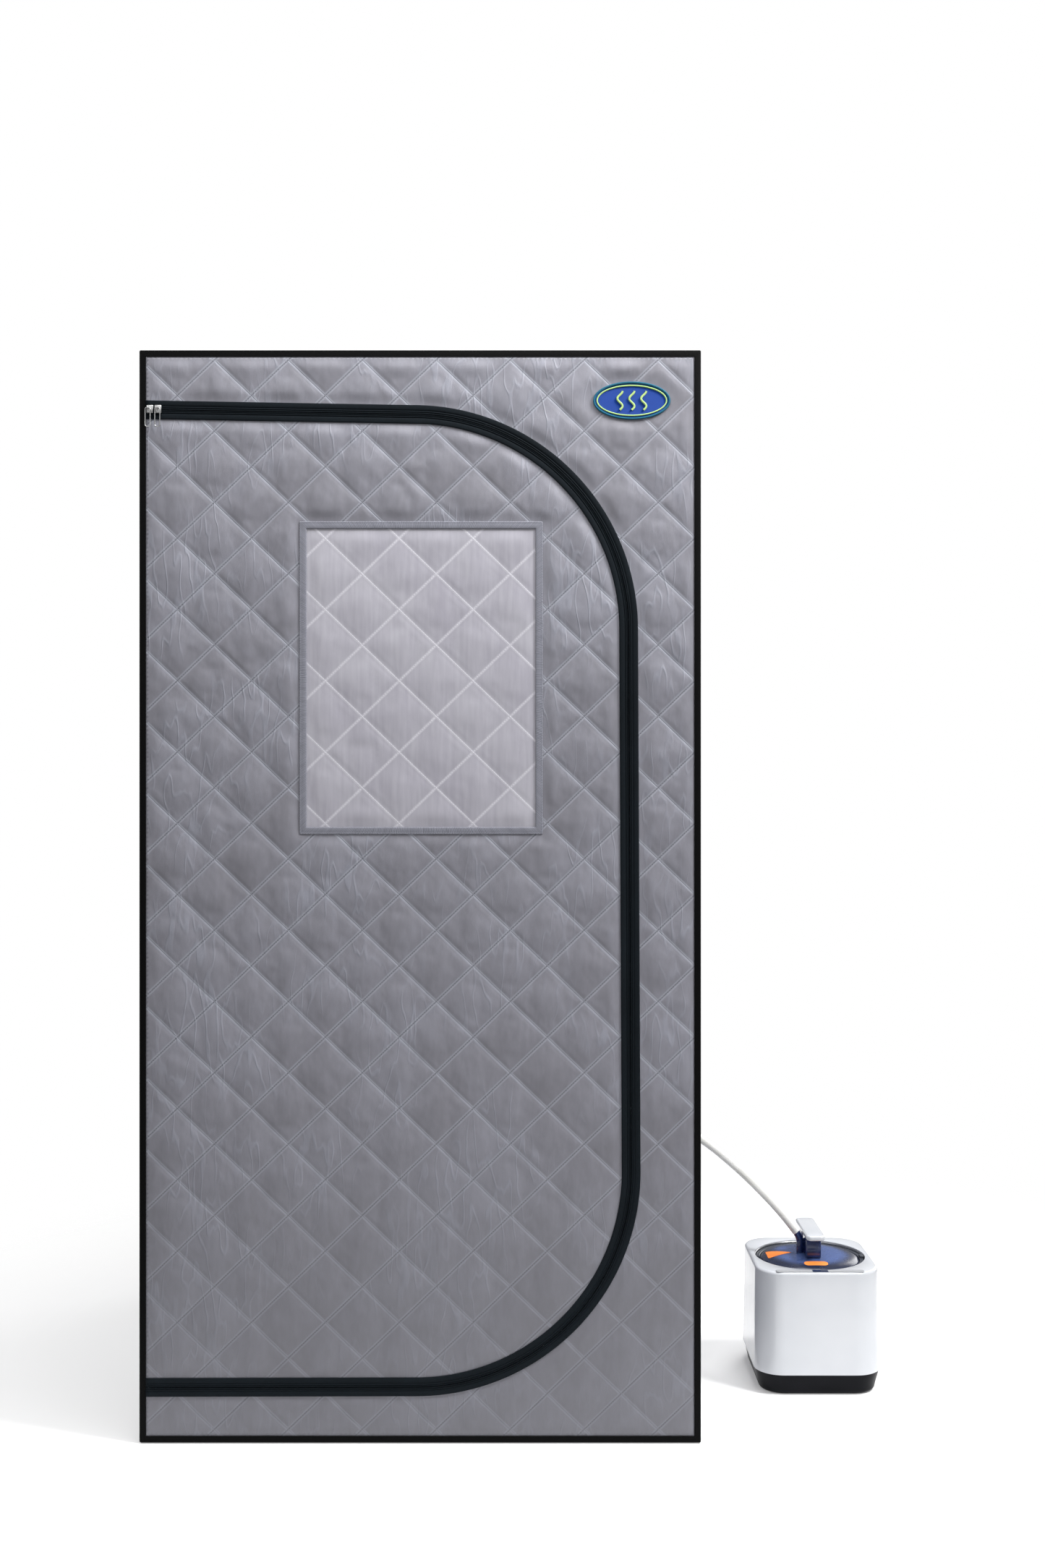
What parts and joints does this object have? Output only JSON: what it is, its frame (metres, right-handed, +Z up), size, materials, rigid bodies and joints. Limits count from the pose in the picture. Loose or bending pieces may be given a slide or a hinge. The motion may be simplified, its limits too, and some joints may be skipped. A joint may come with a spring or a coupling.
{
  "type": "portable steam sauna",
  "caption": "Framed, quilted steam tent with a zip door and a clear window, fed through a hose by a box-shaped steamer beside it.",
  "frame": {"origin": "centre of the tent's footprint, on the floor", "axes": "+Z up, -Y out of the door side, +X from the tent towards the steamer"},
  "size_m": [1.239, 0.9122, 1.751],
  "materials": {
    "quilted_cloth": "satin quilted polyester",
    "edge_tape": "matt woven tape",
    "zip_tape": "matt woven tape",
    "zip_metal": "bright wire",
    "window_film": "milky film",
    "frame_tube": "satin",
    "frame_fitting": "fine grain",
    "floor_cloth": "matt coated cloth",
    "badge": "embroidered",
    "white_shell": "glossy",
    "black_base": "satin",
    "blue_lid": "clear gloss",
    "tank_steel": "brushed",
    "heater_metal": "cast",
    "seal_rubber": "matt",
    "orange_label": "matt sticker",
    "hose_plastic": "smooth satin",
    "circuit_board": "satin",
    "control_strip": "glossy"
  },
  "bodies": {
    "root": {"base_corner_left_front": "frame_fitting", "base_corner_left_rear": "frame_fitting", "base_corner_right_front": "frame_fitting", "base_corner_right_rear": "frame_fitting", "top_corner_left_front": "frame_fitting", "top_corner_left_rear": "frame_fitting", "top_corner_right_front": "frame_fitting", "top_corner_right_rear": "frame_fitting", "lower_post_left_front": "frame_tube", "lower_post_left_rear": "frame_tube", "lower_post_right_front": "frame_tube", "lower_post_right_rear": "frame_tube", "upper_post_left_front": "frame_tube", "upper_post_left_rear": "frame_tube", "upper_post_right_front": "frame_tube", "upper_post_right_rear": "frame_tube", "base_rail_front": "frame_tube", "base_rail_rear": "frame_tube", "base_rail_left": "frame_tube", "base_rail_right": "frame_tube", "top_rail_front": "frame_tube", "top_rail_rear": "frame_tube", "top_rail_left": "frame_tube", "top_rail_right": "frame_tube", "front_panel": "quilted_cloth", "rear_panel": "quilted_cloth", "left_panel": "quilted_cloth", "right_panel": "quilted_cloth", "roof_panel": "quilted_cloth", "floor_mat": "floor_cloth", "edge_binding": "edge_tape", "front_zip_tape": "zip_tape", "badge": "badge", "hose_port": "frame_fitting", "steam_hose": "hose_plastic", "steam_diffuser": "white_shell", "steamer_base": "black_base", "steamer_shell": "white_shell", "water_tank": "tank_steel", "heater_plate": "heater_metal", "control_board": "circuit_board", "power_inlet": "black_base", "control_strip": "control_strip"},
    "door": {"door_panel": "quilted_cloth", "window_film": "window_film", "window_hem": "quilted_cloth", "door_zip_tape": "zip_tape"},
    "window_flap": {"window_flap": "quilted_cloth"},
    "slider_left": {"zip_slider_left": "zip_metal"},
    "pull_left": {"zip_pull_left": "zip_metal"},
    "slider_right": {"zip_slider_right": "zip_metal"},
    "pull_right": {"zip_pull_right": "zip_metal"},
    "lid": {"lid": "blue_lid", "lid_gasket": "seal_rubber", "handle_block": "blue_lid", "handle_cap": "white_shell", "steam_outlet": "blue_lid", "lid_label_left": "orange_label", "lid_label_front": "orange_label"},
    "lock_ring": {"lock_ring": "black_base"}
  },
  "joints": [
    {"name": "door_hinge", "type": "hinge", "parent": "root", "child": "door", "pos_m": [-0.4395, -0.456, 0.872], "axis": [0, 0, -1], "range_deg": [0, 150]},
    {"name": "window_flap_hinge", "type": "hinge", "parent": "door", "child": "window_flap", "pos_m": [0.0015, -0.4443, 1.481], "axis": [1, 0, 0], "range_deg": [0, 80]},
    {"name": "zip_slide_left", "type": "slide", "parent": "door", "child": "slider_left", "axis": [0.9998, 0, -0.0175], "range_m": [0, 0.18]},
    {"name": "zip_slide_right", "type": "slide", "parent": "slider_left", "child": "slider_right", "axis": [0.9998, 0, -0.0175], "range_m": [0, 0.2]},
    {"name": "pull_swing_left", "type": "hinge", "parent": "slider_left", "child": "pull_left", "pos_m": [-0.4345, -0.459, 1.657], "axis": [-1, 0, 0], "range_deg": [0, 150]},
    {"name": "pull_swing_right", "type": "hinge", "parent": "slider_right", "child": "pull_right", "pos_m": [-0.419, -0.459, 1.657], "axis": [-1, 0, 0], "range_deg": [0, 150]},
    {"name": "lid_lift", "type": "slide", "parent": "root", "child": "lid", "axis": [0, 0, 1], "range_m": [0, 0.15], "deforming": ["steam_hose"]},
    {"name": "lock_ring_turn", "type": "hinge", "parent": "lid", "child": "lock_ring", "pos_m": [0.679, -0.125, 0.202], "axis": [0, 0, 1], "range_deg": [0, 25]}
  ]
}
